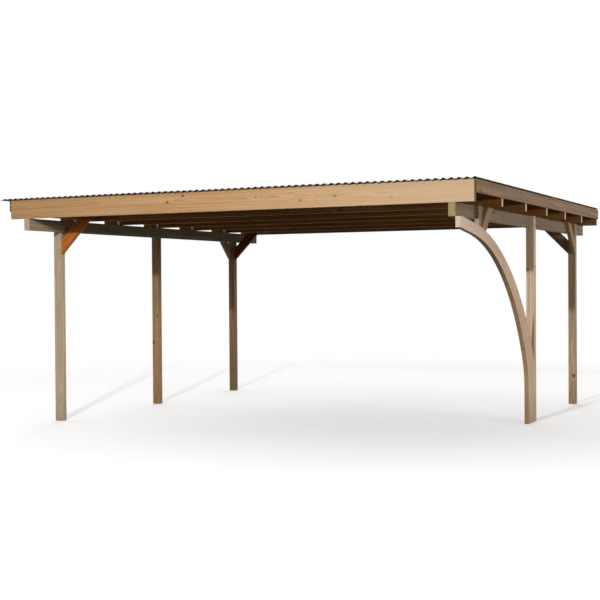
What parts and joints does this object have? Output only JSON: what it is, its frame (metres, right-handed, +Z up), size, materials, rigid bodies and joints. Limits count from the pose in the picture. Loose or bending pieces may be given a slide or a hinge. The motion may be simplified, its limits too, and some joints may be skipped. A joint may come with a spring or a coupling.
{
  "type": "timber double carport",
  "caption": "Free-standing timber double carport with a flat corrugated roof, knee-braced posts and one curved laminated arch at the entry.",
  "frame": {"origin": "on the ground, under the middle of the roof", "axes": "+X to the right seen from the entry, +Y from the entry to the back, +Z up"},
  "size_m": [5.548, 5.397, 2.5494],
  "materials": {
    "pale_wood": "sawn, lightly weathered",
    "post_wood": "sawn, weathered",
    "beam_wood": "sawn, weathered",
    "honey_wood": "planed",
    "dark_wood": "sawn",
    "brace_wood": "sawn",
    "zinc_steel": "hot-dip galvanised",
    "sheet_plastic": "satin PVC"
  },
  "bodies": {
    "root": {"post_left_front": "pale_wood", "post_left_middle": "post_wood", "post_left_back": "post_wood", "post_right_middle": "post_wood", "post_right_back": "post_wood", "stub_post": "post_wood", "entry_arch": "pale_wood", "beam_left": "beam_wood", "beam_right": "beam_wood", "front_fascia": "honey_wood", "rafter_1": "dark_wood", "rafter_2": "dark_wood", "rafter_3": "dark_wood", "rafter_4": "dark_wood", "rafter_5": "dark_wood", "back_fascia": "dark_wood", "side_board_left": "beam_wood", "side_board_right": "beam_wood", "brace_left_front_across": "brace_wood", "brace_left_back_across": "brace_wood", "brace_right_back_across": "brace_wood", "brace_left_front_along": "beam_wood", "brace_left_back_along": "beam_wood", "brace_right_back_along": "beam_wood", "brace_stub_along": "beam_wood", "block_left_front": "dark_wood", "block_left_back": "dark_wood", "block_right_back": "dark_wood", "brackets_left": "zinc_steel", "brackets_right": "zinc_steel", "roof_sheet_1": "sheet_plastic", "roof_sheet_2": "sheet_plastic", "roof_sheet_3": "sheet_plastic", "roof_sheet_4": "sheet_plastic", "roof_sheet_5": "sheet_plastic"}
  },
  "joints": []
}
